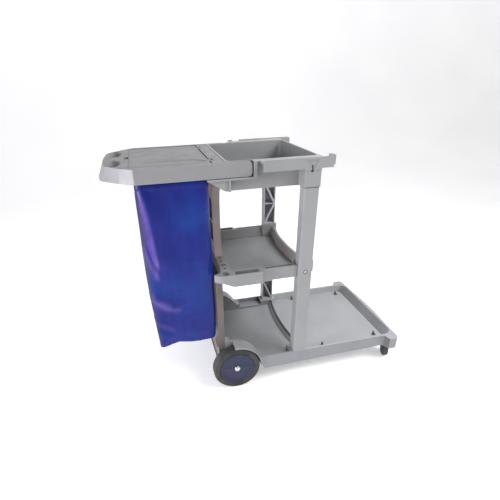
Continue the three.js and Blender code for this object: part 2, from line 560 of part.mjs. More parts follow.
put('lid', buildLid(), MATERIALS.body);
for (const [side, tag] of SIDES)
  put(`lid_hinge_pin_${tag}`, hingePin(2, side * KNUCKLE_Y, 25), MATERIALS.steel);

// ---- bag: thin shell, open at the mouth ----
// Sections: x0, x1, half width, corner radius
const BAG_MOUTH = [-466, -228, BAG_HALF - 2, 18];
const BAG_WAIST = [-472, -216, BAG_HALF, 22];
const BAG_BOTTOM = [-456, -222, BAG_HALF - 6, 26];

// wall and cornerDrop draw the sections in; overlap carries the lower part past the waist
function bagBody(wall, cornerDrop, overlap, top) {
  const section = ([x0, x1, half, r]) =>
    roundRect(x0 + wall, x1 - wall, -half + wall, half - wall, r - cornerDrop, 3);
  const waist = section(BAG_WAIST);
  return all(
    prismZ(waist, BAG_WAIST_Z, top, section(BAG_MOUTH)),
    prismZ(section(BAG_BOTTOM), BAG_Z0 + wall, BAG_WAIST_Z + overlap, waist));
}
put('bag', cut(bagBody(0, 0, 0, BAG_TOP), bagBody(BAG_WALL, 2, 0.01, BAG_TOP + 1)),
  MATERIALS.bag);

// Hook inside the mouth, near side
const bagHook = (x) => all(
  box(x - 7, x + 7, -193.5, -190.5, 884, 910.7),
  box(x - 7, x + 7, -195.4, -190.5, 884, 888),
  prismX([[-195.4, 884], [-192.9, 884], [-192.9, 896], [-195.4, 896]], x - 7, x + 7));
[-440, -347, -252].forEach((x, i) => {
  put(`bag_hook_near_${i + 1}`, bagHook(x), MATERIALS.hook);
  put(`bag_hook_far_${i + 1}`, flipY(bagHook(x)), MATERIALS.hook);
});

// ---- rear axle and wheels: profiles are [radius, distance from the centre plane] ----
const BORE_R = AXLE_R + GAP;
const TYRE_PROFILE = [
  [HUB_R + GAP, 211], [95, TYRE_IN], [100.5, 210], [WHEEL_R, 216], [WHEEL_R, 242],
  [100.5, 248], [95, TYRE_OUT], [87, TYRE_OUT - 0.6], [HUB_R + GAP, 247], [HUB_R + GAP, 211]];
const HUB_PROFILE = [
  [BORE_R, 208], [20, 208], [20, 218], [66, 218], [67, 212], [HUB_R, 212], [HUB_R, 246.4],
  [66, 248.6], [60, 245], [22, 247.6], [BORE_R, 247.6], [BORE_R, 208]];
const WASHER_PROFILE = [
  [BORE_R, 204.6], [13, 204.6], [13, 207.4], [BORE_R, 207.4], [BORE_R, 204.6]];
const CAP_PROFILE = [
  [0, 251.3], [AXLE_R + 0.2, 251.3], [AXLE_R + 0.2, 248], [12.5, 248], [12.5, 250.5],
  [10.5, 253], [6, 254.2], [0, 254.4]];

put('rear_axle', cylY(AXLE_R, WHEEL_X, WHEEL_Z, -251, 251, 16), MATERIALS.steel);
for (const [side, tag] of SIDES) {
  const onAxle = (profile, n) => lathe(profile, n, (g) => {
    if (side < 0) g.rotateX(Math.PI);
    g.translate(WHEEL_X, 0, WHEEL_Z);
  });
  put(`wheel_tyre_${tag}`, onAxle(TYRE_PROFILE, 40), MATERIALS.tyre);
  put(`wheel_hub_${tag}`, onAxle(HUB_PROFILE, 32), MATERIALS.hub);
  put(`axle_washer_${tag}`, onAxle(WASHER_PROFILE, 14), MATERIALS.dullSteel);
  put(`axle_cap_${tag}`, onAxle(CAP_PROFILE, 16), MATERIALS.cap);
}

// ---- swivel casters, built about the swivel axis with the wheel trailing along +X ----
const STEM_PROFILE = [
  [0, 86.5], [9, 86.5], [9, 90], [5.6, 90], [5.6, 131], [4, 133], [0, 133]];
const CASTER_TYRE_PROFILE = [
  [27.3, -9.5], [34.5, -11], [CASTER_R, -7], [CASTER_R, 7], [34.5, 11], [27.3, 9.5],
  [27.3, -9.5]];
const CASTER_HUB_PROFILE = [
  [3.3, -12.4], [9, -12.4], [10, -8], [23, -8], [24.5, -9.5], [27, -9.5], [27, 9.5],
  [24.5, 9.5], [23, 8], [10, 8], [9, 12.4], [3.3, 12.4], [3.3, -12.4]];
// Swept fork leg, [x, z]
const FORK_LEG = [
  [-11, 94], [-12, 84], [-4, 60], [CASTER_TRAIL - 9, 33], [CASTER_TRAIL - 2, 29],
  [CASTER_TRAIL + 4, 29.5], [CASTER_TRAIL + 9, 35], [CASTER_TRAIL + 8, 46], [13, 80],
  [11, 86], [11, 94]];

const onTrail = (profile, n) =>
  lathe(profile, n, (g) => g.translate(CASTER_TRAIL, 0, CASTER_R));
const trailCyl = (r, y0, y1) => cylY(r, CASTER_TRAIL, CASTER_R, y0, y1, 10);

function casterFork() {
  // round race plate, two legs and the bridge between them
  const fork = all(
    cylZ(17.5, 0, 0, 91, 96, 20),
    both(prismY(FORK_LEG, -16, -13.2)),
    box(-11, 11, -15.5, 15.5, 89.5, 93));
  return cut(fork,
    box(-30, 40, -13.2, 13.2, 20, 85.5),
    cylZ(9.4, 0, 0, 80, 90.4, 14),
    cylZ(6, 0, 0, 80, 100, 14),
    trailCyl(3.4, -20, 20));
}
const casterAxle = () =>
  all(trailCyl(3, -18.5, 18.5), trailCyl(6, -19.5, -16.4), trailCyl(6, 16.4, 19.5));

for (const [side, tag] of SIDES) {
  const place = (body) => solid(toGeometry(body)
    .rotateZ((-side * CASTER_TURN[tag] * Math.PI) / 180)
    .translate(CASTER_X, side * CASTER_Y, 0));
  put(`caster_stem_${tag}`, place(latheZ(STEM_PROFILE, 14, 0, 0, 0)), MATERIALS.dullSteel);
  put(`caster_fork_${tag}`, place(casterFork()), MATERIALS.fork);
  put(`caster_tyre_${tag}`, place(onTrail(CASTER_TYRE_PROFILE, 28)), MATERIALS.casterTyre);
  put(`caster_hub_${tag}`, place(onTrail(CASTER_HUB_PROFILE, 22)), MATERIALS.casterHub);
  put(`caster_axle_${tag}`, place(casterAxle()), MATERIALS.dullSteel);
}

// ---- fasteners: profiles are [radius, height] ----
const SHELF_SCREW = [
  [0, 0], [5.8, 0], [5.8, 1.4], [2.3, 1.8], [2.3, 3], [1.5, 3.4], [1.5, 30], [0, 30]];
const CROSSBAR_SCREW = [
  [0, 0], [1.8, 0], [1.8, 19], [5.2, 20.4], [5.2, 22.2], [0, 22.6]];
// Screw driven upwards, head at the bottom
const upScrew = (headR, length) => [
  [0, 0], [headR, 0], [headR, 3], [1.5, 3.2], [1.5, length], [0, length]];

const shelfScrew = lathe(SHELF_SCREW, 12,
  (g) => g.translate(POST_MID, -POST_OUT + 0.5, SHELF_SCREW_Z));
put('shelf_screw_near', shelfScrew, MATERIALS.steel);
put('shelf_screw_far', flipY(shelfScrew), MATERIALS.steel);

// name, profile, segments, x, distance from the centre line, z
const UPRIGHT_FASTENERS = [
  ['crossbar_screw', CROSSBAR_SCREW, 12, CROSSBAR_SCREW_X, CROSSBAR_SCREW_Y, 937.2],
  ['upright_screw', upScrew(4.8, 36), 10, UPRIGHT_SCREW_X, UPRIGHT_SCREW_Y, SHELF_Z0 + 26],
  ['panel_screw', upScrew(5, 30), 10, PANEL_SCREW_X, PANEL_SCREW_Y, UNDER_Z - 3.5]];
for (const [name, profile, n, x, y, z] of UPRIGHT_FASTENERS)
  for (const [side, tag] of SIDES)
    put(`${name}_${tag}`, latheZ(profile, n, x, side * y, z), MATERIALS.steel);

export default cart;
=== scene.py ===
# Housekeeping cart: a grey plastic platform, posts, shelf, top tray and lid, with a blue
# vinyl bag hung at the -X (rear) end. It stands on z = 0 with its length along X; the two
# big wheels are towards -X and the casters towards +X. Near is -Y and far is +Y.
# Shapes are drawn in mm in the design's x and moved to the frame by to_frame; materials,
# camera and lights are in metres.
import bpy
import bmesh
import math
from fnmatch import fnmatchcase
import numpy as np
from mathutils import Matrix, Vector, noise

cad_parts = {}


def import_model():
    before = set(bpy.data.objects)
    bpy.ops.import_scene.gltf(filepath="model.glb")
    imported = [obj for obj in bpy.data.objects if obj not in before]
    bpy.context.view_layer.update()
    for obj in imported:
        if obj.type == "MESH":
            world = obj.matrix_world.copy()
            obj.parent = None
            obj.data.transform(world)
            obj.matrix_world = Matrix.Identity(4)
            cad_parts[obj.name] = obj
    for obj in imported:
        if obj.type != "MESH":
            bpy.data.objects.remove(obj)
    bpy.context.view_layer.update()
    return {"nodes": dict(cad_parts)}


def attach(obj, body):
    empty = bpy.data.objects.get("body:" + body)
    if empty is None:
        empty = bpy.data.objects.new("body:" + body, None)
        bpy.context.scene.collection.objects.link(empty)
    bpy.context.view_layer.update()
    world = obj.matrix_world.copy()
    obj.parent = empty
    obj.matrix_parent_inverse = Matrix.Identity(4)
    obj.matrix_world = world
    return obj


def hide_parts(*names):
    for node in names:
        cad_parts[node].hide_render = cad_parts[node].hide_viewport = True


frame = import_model()
SCENE = bpy.context.scene

SHIFT_MM = -18.0  # from the design's x to the frame's x
SHIFT_X = SHIFT_MM / 1000
SIDES = (("near", -1), ("far", 1))  # name and sign of y
SHELF_SCREW_X, SHELF_SCREW_Z = 136, 531


def to_frame(x, y, z):
    """Design millimetres to frame metres."""
    return x / 1000 + SHIFT_X, y / 1000, z / 1000


def clamp(value):
    return max(0.0, min(1.0, value))


def ease(low, high, value):
    """Smooth step from 0 at low to 1 at high."""
    t = clamp((value - low) / (high - low))
    return t * t * (3 - 2 * t)


def at(value, stations):
    """Linear reading of a table of (place, value) rows, places rising."""
    return float(np.interp(value, *zip(*stations)))


# ---------------------------------------------------------------- shader building
def srgb(*rgb):
    """Linear RGBA of an 8-bit sRGB colour."""
    linear = [c / 12.92 if c <= 0.04045 else ((c + 0.055) / 1.055) ** 2.4
              for c in (value / 255 for value in rgb)]
    return (*linear, 1.0)


def tint(colour, scale, lift=0.0):
    """The colour times scale (one factor, or one per channel) plus lift."""
    factors = np.broadcast_to(scale, 3)
    return tuple(min(1, c * k + lift) for c, k in zip(colour, factors)) + (1,)


class Shader:
    """A new material with a Principled surface, and short ways to add nodes to it."""

    def __init__(self, name):
        self.material = bpy.data.materials.new(name)
        self.material.use_nodes = True
        self.tree = self.material.node_tree
        self.tree.nodes.clear()
        output = self.node("OutputMaterial")
        self.bsdf = self.node("BsdfPrincipled")
        self.feed(output.inputs[0], self.bsdf.outputs[0])
        self.position = self.node("TexCoord").outputs["Object"]

    def feed(self, socket, value):
        """Links a socket, or sets a plain value."""
        if isinstance(value, bpy.types.NodeSocket):
            self.tree.links.new(value, socket)
        else:
            socket.default_value = value

    def node(self, kind, inputs=None, **settings):
        node = self.tree.nodes.new("ShaderNode" + kind)
        for key, value in settings.items():
            setattr(node, key, value)
        for key, value in (inputs or {}).items():
            self.feed(node.inputs[key], value)
        return node

    def surface(self, inputs):
        for key, value in inputs.items():
            self.feed(self.bsdf.inputs[key], value)

    def split(self, vector):
        return self.node("SeparateXYZ", {0: vector}).outputs

    def noise(self, scale, detail=4.0, rough=0.6, distortion=0.0, stretch=None):
        vector = self.position
        if stretch:
            vector = self.node("Mapping", {"Scale": stretch, "Vector": vector}).outputs[0]
        return self.node("TexNoise", {
            "Scale": scale, "Detail": detail, "Roughness": rough,
            "Distortion": distortion, "Vector": vector}).outputs["Fac"]

    def ramp(self, factor, stops):
        """Colour ramp; stops are (position, colour)."""
        ramp = self.node("ValToRGB", {0: factor})
        elements = ramp.color_ramp.elements
        elements[0].position, elements[0].color = stops[0]
        elements[1].position, elements[1].color = stops[-1]
        for position, colour in stops[1:-1]:
            elements.new(position).color = colour
        return ramp.outputs[0]

    def remap(self, value, span, to=(0, 1)):
        return self.node("MapRange", {
            "From Min": span[0], "From Max": span[1],
            "To Min": to[0], "To Max": to[1], "Value": value}).outputs[0]

    def patches(self, scale, to, detail=4.0, distortion=0.0):
        """Soft noise patches that range over `to`."""
        spread = self.noise(scale=scale, detail=detail, distortion=distortion)
        return self.remap(spread, span=(0.3, 0.7), to=to)

    def mix(self, factor, a, b, blend="MIX"):
        # inputs 6 and 7 are the colour pair
        return self.node("Mix", {0: factor, 6: a, 7: b},
                         data_type="RGBA", blend_type=blend).outputs[2]

    def math(self, operation, a, b=None):
        inputs = {0: a} if b is None else {0: a, 1: b}
        return self.node("Math", inputs, operation=operation).outputs[0]

    def times(self, a, b):
        return self.math("MULTIPLY", a, b)

    def bump(self, height, strength, distance, under=None):
        """Bump normal, laid over the normal `under` if there is one."""
        inputs = {"Strength": strength, "Distance": distance, "Height": height}
        if under is not None:
            inputs["Normal"] = under
        return self.node("Bump", inputs).outputs[0]


# ---------------------------------------------------------------- moulded plastic
def mottled(s, base):
    """Faint flow mottling under a fine speckle."""
    flow = s.noise(scale=5, detail=5, rough=0.62, distortion=0.5)
    colour = s.ramp(flow, [(0.30, tint(base, 0.93)), (0.5, base), (0.72, tint(base, 1.07))])
    speckle = s.remap(s.noise(scale=800, detail=2, rough=0.5), span=(0.32, 0.68), to=(0.93, 1.07))
    grey = s.node("CombineColor", {0: speckle, 1: speckle, 2: speckle}).outputs[0]
    return s.mix(1.0, colour, grey, blend="MULTIPLY")


def hairline_scuffs(s):
    """Fine lines along z and x, only here and there."""
    lines_a = s.noise(scale=70, detail=3, distortion=0.3, stretch=(1, 1, 16))
    lines_b = s.noise(scale=64, detail=3, distortion=0.3, stretch=(14, 1, 1))
    lines = s.math("MAXIMUM", s.remap(lines_a, span=(0.66, 0.71)),
                   s.remap(lines_b, span=(0.67, 0.72)))
    return s.times(lines, s.remap(s.noise(scale=4.5, detail=2, rough=0.5), span=(0.52, 0.68)))


def rubbed_edges(s, normal):
    """Edges, found where the rounded normal leaves the true one."""
    rounded = s.node("Bevel", {"Radius": 0.0035}, samples=4).outputs[0]
    agree = s.node("VectorMath", {0: rounded, 1: normal}, operation="DOT_PRODUCT")
    edge = s.remap(agree.outputs["Value"], span=(0.99, 0.80))
    return s.times(edge, s.remap(s.noise(scale=38), span=(0.38, 0.62), to=(0.25, 1)))


def corner_shade(s, amount):
    """Painted shade where little light reaches."""
    open_sky = s.node("AmbientOcclusion", {"Distance": 0.035}, samples=4).outputs["AO"]
    shade = s.remap(open_sky, span=(0.75, 0.25), to=(0, 0.55 * amount))
    return s.times(shade, s.patches(scale=12, to=(0.6, 1.0)))


# darkening round a point: painted shade on the base's fins, and darker rings round screws
def spot_darkening(s, x, y, z, radius, strength):
    apart = s.node("VectorMath", {0: s.position, 1: (x, y, z)}, operation="DISTANCE")
    return s.remap(apart.outputs["Value"], span=(radius * 0.75, radius * 1.25), to=(strength, 0))


def band_shade(s, place, z, half_height, x0, x1, strength):
    """A level band of painted shade along a seam, from x0 to x1."""
    off = s.math("ABSOLUTE", s.math("SUBTRACT", place["Z"], z))
    shade = s.remap(off, span=(half_height * 0.6, half_height * 1.4), to=(strength, 0))
    shade = s.times(shade, s.math("GREATER_THAN", place["X"], x0))
    return s.times(shade, s.math("LESS_THAN", place["X"], x1))


def zone_weight(s, place, normal, x0, x1, soft, facing_y, least_y):
    """A stretch of x on faces that look along facing_y, or up if it is 0."""
    weight = s.times(s.remap(place["X"], span=(x0 - soft, x0 + soft)),
                     s.remap(place["X"], span=(x1 - soft, x1 + soft), to=(1, 0)))
    axes = s.split(normal)
    if facing_y:
        facing = s.remap(axes["Y"], span=(facing_y * 0.5, facing_y * 0.9))
    else:
        facing = s.remap(axes["Z"], span=(0.6, 0.95))
    weight = s.times(weight, facing)
    weight = s.times(weight, s.patches(scale=11, to=(0.8, 1.0)))
    return s.times(weight, s.math("GREATER_THAN", place["Y"], least_y))


def moulded(name, rgb, rough, wear=1.0, shine=0.5, shade=1.0, dust_and_top_light=0.0, rear_shade=0.0,
            painted_bounce=0.0, spots=(), bands=(), zones=()):
    """Moulded plastic: fine grain, mottling, scuffs, paler rubbed edges, painted shade in
    corners.

    The up-face amount pales faces that look up as painted light, or darkens them below
    zero as painted shade; the -X amount darkens faces that look to -X as painted shade;
    the bounce amount is a warm emission on those faces, a painted glow for light back
    from the bag. spots and bands darken the colour; zones are (strength, zone_weight
    arguments), painted light above zero, else painted shade.
    """
    s = Shader(name)
    base = srgb(*rgb)
    pale = tint(base, 1.5, lift=0.05)
    normal = s.node("NewGeometry").outputs["Normal"]
    colour = mottled(s, base)
    scuffs = hairline_scuffs(s)
    colour = s.mix(s.times(scuffs, 0.30 * wear), colour, pale)
    colour = s.mix(s.times(rubbed_edges(s, normal), 0.34 * wear), colour, pale)

    darkening = corner_shade(s, shade)
    for spot in spots:
        darkening = s.math("MAXIMUM", darkening, spot_darkening(s, *spot))
    if bands or zones:
        place = s.split(s.position)
    for band in bands:
        darkening = s.math("MAXIMUM", darkening, band_shade(s, place, **band))

    # painted light on faces that look up, or painted shade below zero
    if dust_and_top_light:
        up = s.remap(s.split(normal)["Z"], span=(0.55, 0.95))
        up = s.times(up, s.patches(scale=7, detail=5, to=(0.75, 1.0)))
        painted_tone = tint(base, 1.6, lift=0.12) if dust_and_top_light > 0 else tint(base, 0.5)
        colour = s.mix(s.times(up, abs(dust_and_top_light)), colour, painted_tone)
    # zones: painted light above zero, painted shade below
    for strength, zone in zones:
        weight = zone_weight(s, place, normal, **zone)
        painted_tone = tint(base, 1.9, lift=0.1) if strength > 0 else tint(base, 0.4)
        colour = s.mix(s.times(weight, abs(strength)), colour, painted_tone)
    # painted shade on faces that look to -X
    if rear_shade:
        rear_shade_mask = s.remap(s.split(normal)["X"], span=(-0.35, -0.8), to=(0, rear_shade))
        rear_shade_mask = s.times(rear_shade_mask, s.patches(scale=9, to=(0.8, 1.0)))
        colour = s.mix(rear_shade_mask, colour, tint(base, (0.30, 0.27, 0.25)))
    # painted shade in corners, on seams and on the base's fins; darker rings round shelf screws
    colour = s.mix(darkening, colour, tint(base, (0.34, 0.31, 0.29)))
    s.surface({"Base Color": colour, "Specular IOR Level": shine})

    # painted glow: warm emission on faces that look to -X, for light back from the bag
    if painted_bounce:
        glow = s.remap(s.split(normal)["X"], span=(-0.4, -0.85), to=(0, painted_bounce))
        s.surface({"Emission Color": srgb(84, 74, 69), "Emission Strength": glow})
    roughness = s.patches(scale=20, detail=5, to=(rough - 0.06, rough + 0.09))
    roughness = s.math("ADD", roughness, s.times(scuffs, 0.12))
    grain = s.bump(s.noise(scale=1300, detail=2, rough=0.5), strength=0.14, distance=0.0004)
    waves = s.bump(s.noise(scale=16, detail=3, rough=0.5), strength=0.08, distance=0.002,
                   under=grain)
    s.surface({"Roughness": roughness, "Normal": waves})
    return s.material


# ---------------------------------------------------------------- other materials
def brushed_steel(name):
    s = Shader(name)
    base = srgb(205, 206, 210)
    brush = s.noise(scale=160, detail=3, stretch=(1, 8, 1))
    s.surface({
        "Base Color": s.ramp(brush, [(0.3, tint(base, 0.82)), (0.7, base)]),
        "Metallic": 1.0,
        "Roughness": s.patches(scale=90, to=(0.20, 0.40)),
        "Normal": s.bump(brush, strength=0.15, distance=0.0003)})
    return s.material


def dusty_rubber(name):
    s = Shader(name)
    dust_and_top_light = s.remap(s.noise(scale=18, detail=5, rough=0.65), span=(0.42, 0.72), to=(0.0, 0.30))
    s.surface({
        "Base Color": s.mix(dust_and_top_light, srgb(44, 44, 46), srgb(112, 108, 102)),
        "Roughness": s.patches(scale=40, to=(0.63, 0.87)),
        "Specular IOR Level": 0.35})
    fine = s.bump(s.noise(scale=700, detail=3), strength=0.25, distance=0.0006)
    coarse = s.bump(s.noise(scale=60, detail=3), strength=0.15, distance=0.001, under=fine)
    s.surface({"Normal": coarse})
    return s.material


def bag_vinyl(name):
    """Glossy deep blue coated fabric with a faint weave; a mesh attribute of painted highlights
    pales it along the folds.
    """
    s = Shader(name)
    clouds = s.noise(scale=5, distortion=0.6)
    colour = s.ramp(clouds, [(0.3, srgb(2, 20, 92)), (0.5, srgb(0, 30, 106)),
                             (0.72, srgb(0, 46, 118))])
    # violet rub marks, then upright streaks
    rub = s.noise(scale=16, detail=5, rough=0.65, distortion=0.3, stretch=(1.6, 1, 0.5))
    colour = s.mix(s.remap(rub, span=(0.55, 0.75), to=(0, 0.35)), colour, srgb(34, 30, 122))
    fold_highlight = s.node("Attribute", attribute_name="fold_highlight").outputs["Fac"]
    streak = s.noise(scale=30, detail=3, distortion=0.2, stretch=(1.6, 1.6, 0.12))
    colour = s.mix(s.remap(streak, span=(0.5, 0.7), to=(0, 0.22)), colour, srgb(44, 34, 132))
    # painted highlights along the near side's folds, from the mesh attribute
    highlight = s.times(fold_highlight, s.patches(scale=60, distortion=0.2, to=(0.62, 0.9)))
    colour = s.mix(highlight, colour, srgb(108, 84, 164))
    # painted shade where seen edge-on, and on faces that look to -X
    grazing = s.node("LayerWeight", {"Blend": 0.3}).outputs["Facing"]
    colour = s.mix(s.remap(grazing, span=(0.45, 0.9), to=(0, 0.75)), colour, srgb(14, 12, 62))
    normal = s.node("NewGeometry").outputs["Normal"]
    rear_shade_mask = s.remap(s.split(normal)["X"], span=(-0.3, -0.85), to=(0, 0.8))
    colour = s.mix(rear_shade_mask, colour, srgb(10, 10, 56))
    grazing = s.node("LayerWeight", {"Blend": 0.35}).outputs["Facing"]
    s.surface({
        "Base Color": colour,
        "Roughness": s.patches(scale=10, to=(0.30, 0.42)),
        "Specular IOR Level": s.remap(grazing, span=(0.35, 0.85), to=(0.34, 0.04)),
        "Specular Tint": (0.80, 0.66, 1.0, 1),
        "Coat Roughness": 0.2})
    threads = [s.node("TexWave", {"Scale": 260, "Vector": s.position},
                      bands_direction=direction).outputs["Fac"]
               for direction in ("Z", "DIAGONAL")]
    weave = s.bump(s.times(*threads), strength=0.10, distance=0.0003)
    crumple = s.bump(s.noise(scale=26, distortion=0.4), strength=0.22, distance=0.004,
                     under=weave)
    s.surface({"Normal": crumple})
    return s.material


GREY = moulded("grey_plastic", (128, 129, 130), rough=0.42, dust_and_top_light=-0.2, painted_bounce=0.7)
GREY_FRAME = moulded("grey_plastic_frame", (124, 124, 126), rough=0.40, dust_and_top_light=-0.5)
GREY_POST = moulded(
    "grey_plastic_post", (134, 135, 136), rough=0.42, shade=0.3,
    # painted shade along the seam where the post meets the tray
    bands=[dict(z=0.8632, half_height=0.0022, x0=0.07, x1=0.16, strength=0.8)],
    # a darker ring round each shelf screw: x, y, z, radius, strength
    spots=[(*to_frame(SHELF_SCREW_X, sign * 245.5, SHELF_SCREW_Z), 0.0088, 1.0)
           for _, sign in SIDES])
GREY_TRAY = moulded(
    "grey_plastic_tray", (131, 132, 133), rough=0.42, shade=0.5, dust_and_top_light=0.25,
    # painted shade along the seam where the post meets the tray
    bands=[dict(z=0.8642, half_height=0.0018, x0=0.07, x1=0.16, strength=0.7)])
GREY_BASE = moulded(
    "grey_plastic_base", (123, 125, 128), rough=0.45, dust_and_top_light=0.52, shade=0.25, rear_shade=0.7,
    # painted shade on the top under the bag, painted light on the faces to -Y on the far side
    zones=[(-0.4, dict(x0=-0.30, x1=0.10, soft=0.03, facing_y=0, least_y=-1.0)),
           (0.42, dict(x0=0.14, x1=0.60, soft=0.02, facing_y=-1, least_y=0.12))],
    # four upright stacks of painted shade: x, y, z, radius, strength
    spots=[(*to_frame(x, y, z), 0.010, 0.85)
           for x, y in ((269, -208), (283, 208), (538, -193), (538, 193))
           for z in (114, 122, 129)])
# painted shade: a darker, warmer copy of the grey for the lower rear panel and hooks, with a
# painted glow
GREY_SHADED = moulded("grey_plastic_dark", (94, 87, 83), rough=0.55, shade=0.4, painted_bounce=1.1)
# painted light: a paler, warmer copy of the grey for the upright, with a stronger painted glow
GREY_UPRIGHT_LIT = moulded("grey_plastic_upright_lit", (170, 158, 152), rough=0.55, shade=0.0, painted_bounce=1.5)
GREY_LID = moulded("grey_plastic_lid", (119, 118, 121), rough=0.46)
# painted light: a paler copy of the grey for the far post
GREY_FAR_LIT = moulded("grey_plastic_far_lit", (160, 158, 162), rough=0.42, shade=0.0)
NAVY = moulded("wheel_plastic", (40, 44, 68), rough=0.5, wear=0.5, shine=0.35)
NAVY_DARK = moulded("caster_plastic", (44, 42, 58), rough=0.45, wear=0.6)
BLACK = moulded("black_plastic", (34, 34, 37), rough=0.45, wear=0.6)
TYRE = dusty_rubber("tyre_rubber")
STEEL = brushed_steel("steel")
VINYL = bag_vinyl("bag_vinyl")


# ---------------------------------------------------------------- CAD pieces
def dress(obj, material):
    obj.data.materials.clear()
    obj.data.materials.append(material)


def soften(obj, width, segments, angle):
    """Rounds a CAD piece's hard edges with modifiers, leaving its mesh as it is."""
    weld = obj.modifiers.new("weld", "WELD")
    weld.merge_threshold = 2e-5
    flat = obj.modifiers.new("flat", "DECIMATE")
    flat.decimate_type = "DISSOLVE"
    flat.angle_limit = math.radians(1.5)
    edge = obj.modifiers.new("edge", "BEVEL")
    edge.width = width
    edge.segments = segments
    edge.limit_method = "ANGLE"
    edge.angle_limit = math.radians(angle)
    edge.use_clamp_overlap = True
    edge.harden_normals = False
    normals = obj.modifiers.new("normals", "WEIGHTED_NORMAL")
    normals.keep_sharp = False
    normals.weight = 60
    for polygon in obj.data.polygons:
        polygon.use_smooth = True


# piece name pattern, material, (edge width, segments, least edge angle); first match wins
FINISHES = [
    ("base_platform", GREY_BASE, (0.0020, 2, 38)),
    ("rear_panel_lower", GREY_SHADED, (0.0020, 2, 38)),
    ("rear_upright_upper", GREY_UPRIGHT_LIT, (0.0020, 2, 38)),
    ("post_near", GREY_POST, (0.0016, 2, 38)),
    ("post_far", GREY_FAR_LIT, (0.0016, 2, 38)),
    ("middle_shelf", GREY, (0.0016, 2, 38)),
    ("top_tray", GREY_TRAY, (0.0016, 2, 38)),
    ("bag_frame", GREY_FRAME, (0.0028, 3, 38)),
    ("lid", GREY_LID, (0.0014, 2, 38)),
    ("*hook*", GREY_SHADED, (0.0006, 2, 38)),
    ("*tyre*", TYRE, (0.001, 2, 30)),
    ("wheel_hub*", NAVY, (0.001, 2, 30)),
    ("caster_hub*", NAVY, (0.001, 2, 30)),
    ("caster_fork*", BLACK, (0.0006, 2, 38)),
    ("bag", VINYL, None),
    ("*", STEEL, (0.0004, 2, 30)),
]

for piece_name, piece in frame["nodes"].items():
    material, edges = next((m, e) for pattern, m, e in FINISHES
                           if fnmatchcase(piece_name, pattern))
    dress(piece, material)
    if edges:
        soften(piece, *edges)


# ---------------------------------------------------------------- mesh building
def new_mesh(name, verts, faces, material, body, fold_highlight=None):
    """A smooth-shaded object that rides on a body; the optional painted highlight values are one
    per vertex.
    """
    mesh = bpy.data.meshes.new(name)
    mesh.from_pydata([tuple(v) for v in verts], [], faces)
    if fold_highlight is not None:
        attribute = mesh.attributes.new("fold_highlight", "FLOAT", "POINT")
        attribute.data.foreach_set("value", np.array(fold_highlight, dtype=np.float32))
    mesh.validate()
    bm = bmesh.new()
    bm.from_mesh(mesh)
    bmesh.ops.recalc_face_normals(bm, faces=bm.faces)
    bm.to_mesh(mesh)
    bm.free()
    for polygon in mesh.polygons:
        polygon.use_smooth = True
    obj = bpy.data.objects.new(name, mesh)
    SCENE.collection.objects.link(obj)
    dress(obj, material)
    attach(obj, body)
    return obj


def bridge(first, second, count):
    """Quads between two closed rings of vertices, by the index each ring starts at."""
    return [(first + i, first + (i + 1) % count, second + (i + 1) % count, second + i)
            for i in range(count)]


def ring_point(share, x0, x1, half_width, corner):
    """Point and outward normal at a share of the way round a rounded rectangle,
    from the middle of the near side towards -X."""
    length, width = x1 - x0, 2 * half_width
    half_straight = length / 2 - corner
    across, along = width - 2 * corner, length - 2 * corner
    straights = (half_straight, across, along, across, half_straight)
    arc = math.pi / 2 * corner
    travel = (share % 1.0) * (sum(straights) + 4 * arc)
    x, y, heading = (x0 + x1) / 2, -half_width, math.pi
    for straight in straights:
        nx, ny = math.cos(heading + math.pi / 2), math.sin(heading + math.pi / 2)
        step = min(travel, straight)
        x, y = x + math.cos(heading) * step, y + math.sin(heading) * step
        if travel <= straight + 1e-12:
            return x, y, nx, ny
        travel -= straight
        # clockwise round the corner, seen from above
        centre_x, centre_y = x - nx * corner, y - ny * corner
        angle = heading + math.pi / 2 - min(travel, arc) / corner
        nx, ny = math.cos(angle), math.sin(angle)
        x, y = centre_x + nx * corner, centre_y + ny * corner
        if travel <= arc + 1e-12:
            return x, y, nx, ny
        travel -= arc
        heading -= math.pi / 2


# ---------------------------------------------------------------- bag
BAG_TOP = 908.3
AROUND, DOWN, BOTTOM_RINGS = 264, 120, 16
FOLD_MIRROR = -688  # the far side's folds are the near side's at x = FOLD_MIRROR - x
MOUTH_X0, MOUTH_X1 = -465, -228  # the mouth bows inward between these
BAG_FLOOR = 0.2465  # z of the middle of the bottom, metres
BAG_FLOOR_LEAST = 0.2345

# plan of the bag by height: (z, value)
BAG_REAR_X = [(243, -453), (311, -458.5), (384, -462), (477, -469), (563, -470),
              (664, -470), (757, -468), (845, -467.5), (910, -466)]
BAG_FRONT_X = [(246, -222), (300, -217), (433, -215.5), (560, -217), (650, -218),
               (785, -219), (901, -221), (910, -222)]
BAG_HALF_WIDTH = [(246, 195), (300, 199), (440, 201.0), (620, 202.0), (800, 201.0),
                  (880, 200.0), (910, 200.0)]
BAG_CORNER = [(246, 15), (300, 22), (500, 30), (760, 28), (880, 20), (910, 17)]

# height of the bottom edge: (x, z)
NEAR_BOTTOM = [(-470, 235), (-456, 235), (-450, 235.5), (-438, 237), (-417, 242),
               (-384, 250), (-335, 241), (-293, 238), (-229, 243), (-216, 250)]
FAR_BOTTOM = [(-470, 239), (-440, 243), (-400, 248), (-340, 243), (-290, 249),
              (-240, 243), (-216, 250)]

# folds that run down the long sides:
# (path of (z, x) going up, width towards -X, width towards +X, height)
SIDE_CRESTS = [
    ([(590, -416), (640, -420), (697, -426), (782, -433), (849, -442), (915, -455)], 19, 34, 7.5),
    ([(535, -424), (560, -430), (600, -441), (640, -456), (690, -470)], 13, 12, 6.0),
    ([(570, -420), (600, -429), (640, -441), (690, -452)], 7, 7, -3.0),
]
